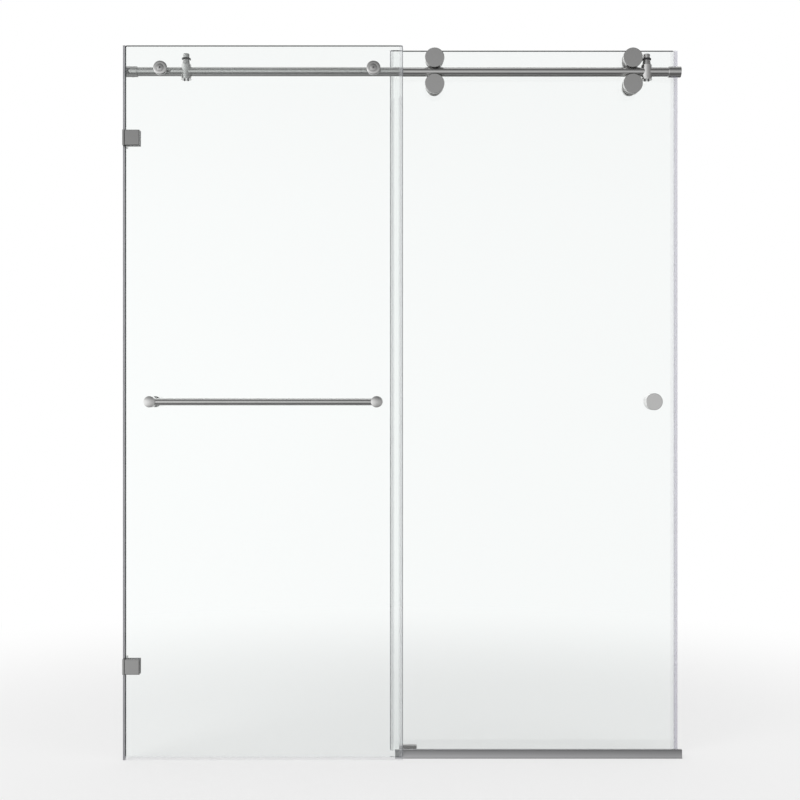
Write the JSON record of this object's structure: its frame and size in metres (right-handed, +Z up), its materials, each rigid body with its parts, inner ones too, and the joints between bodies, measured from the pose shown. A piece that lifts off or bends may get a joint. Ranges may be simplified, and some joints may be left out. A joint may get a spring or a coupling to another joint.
{
  "type": "sliding shower door",
  "caption": "Frameless alcove shower door: a fixed glass panel and a glass door that rolls behind it on grooved wheels along a round header rail; towel bar, knob and threshold.",
  "frame": {"origin": "on the sill, midway between the two walls, straight under the header rail's axis", "axes": "+X to the right seen from outside, along the rail; +Y into the shower; +Z up"},
  "size_m": [1.512, 0.1534, 1.9322],
  "materials": {
    "glass": "clear toughened glass, polished edges",
    "clear_vinyl": "clear vinyl",
    "stainless_steel": "brushed",
    "dark_steel": "plain screw steel",
    "bearing_steel": "ground and polished",
    "bumper_rubber": "matt",
    "sill_aluminium": "satin anodised",
    "guide_metal": "satin",
    "nylon": "smooth"
  },
  "bodies": {
    "frame": {"fixed_glass": "glass", "wall_seal": "clear_vinyl", "fixed_edge_seal": "clear_vinyl", "sill_strip": "clear_vinyl", "fixed_panel_gaskets": "clear_vinyl", "clamp_pads": "clear_vinyl", "header_rail": "stainless_steel", "rail_socket_left": "stainless_steel", "rail_socket_right": "stainless_steel", "stop_collar_left": "stainless_steel", "stop_collar_right": "stainless_steel", "stop_cap_left": "stainless_steel", "stop_cap_right": "stainless_steel", "standoff_cap_left": "stainless_steel", "standoff_cap_right": "stainless_steel", "standoff_spacer_left": "stainless_steel", "standoff_spacer_right": "stainless_steel", "standoff_screws": "stainless_steel", "clamp_plate_upper": "stainless_steel", "clamp_plate_lower": "stainless_steel", "clamp_bracket_upper": "stainless_steel", "clamp_bracket_lower": "stainless_steel", "towel_bar": "stainless_steel", "towel_post_left": "stainless_steel", "towel_post_right": "stainless_steel", "towel_back_screws": "stainless_steel", "grub_screws": "dark_steel", "stop_set_screws": "dark_steel", "clamp_bolts": "dark_steel", "stop_bumper_left": "bumper_rubber", "stop_bumper_right": "bumper_rubber", "threshold": "sill_aluminium", "guide_block": "guide_metal", "guide_liner": "nylon"},
    "door": {"door_glass": "glass", "strike_seal": "clear_vinyl", "trailing_seal": "clear_vinyl", "knob_outer": "stainless_steel", "knob_inner": "stainless_steel", "knob_stud": "dark_steel", "door_gaskets": "clear_vinyl", "roller_axle_upper_left": "stainless_steel", "roller_axle_upper_right": "stainless_steel", "roller_axle_lower_left": "stainless_steel", "roller_axle_lower_right": "stainless_steel", "roller_back_caps": "stainless_steel", "bearing_inner_races": "bearing_steel", "axle_clips": "dark_steel"},
    "roller_upper_left": {"roller_wheel_upper_left": "nylon", "roller_cover_upper_left": "stainless_steel", "roller_bearing_upper_left": "bearing_steel"},
    "roller_upper_right": {"roller_wheel_upper_right": "nylon", "roller_cover_upper_right": "stainless_steel", "roller_bearing_upper_right": "bearing_steel"},
    "roller_lower_left": {"roller_wheel_lower_left": "nylon", "roller_cover_lower_left": "stainless_steel", "roller_bearing_lower_left": "bearing_steel"},
    "roller_lower_right": {"roller_wheel_lower_right": "nylon", "roller_cover_lower_right": "stainless_steel", "roller_bearing_lower_right": "bearing_steel"}
  },
  "joints": [
    {"name": "door_slide", "type": "slide", "parent": "frame", "child": "door", "axis": [1, 0, 0], "range_m": [-0.638, 0]},
    {"name": "roller_upper_left_spin", "type": "hinge", "parent": "door", "child": "roller_upper_left", "pos_m": [0.0854, 0, 1.901], "axis": [0, 1, 0], "continuous": true},
    {"name": "roller_upper_right_spin", "type": "hinge", "parent": "door", "child": "roller_upper_right", "pos_m": [0.6234, 0, 1.901], "axis": [0, 1, 0], "continuous": true},
    {"name": "roller_lower_left_spin", "type": "hinge", "parent": "door", "child": "roller_lower_left", "pos_m": [0.0854, 0, 1.8305], "axis": [0, 1, 0], "continuous": true},
    {"name": "roller_lower_right_spin", "type": "hinge", "parent": "door", "child": "roller_lower_right", "pos_m": [0.6234, 0, 1.8305], "axis": [0, 1, 0], "continuous": true}
  ],
  "couplings": [
    {"joint": "roller_upper_left_spin", "follows": "door_slide", "rad_per_m": 44.444},
    {"joint": "roller_upper_right_spin", "follows": "door_slide", "rad_per_m": 44.444}
  ]
}
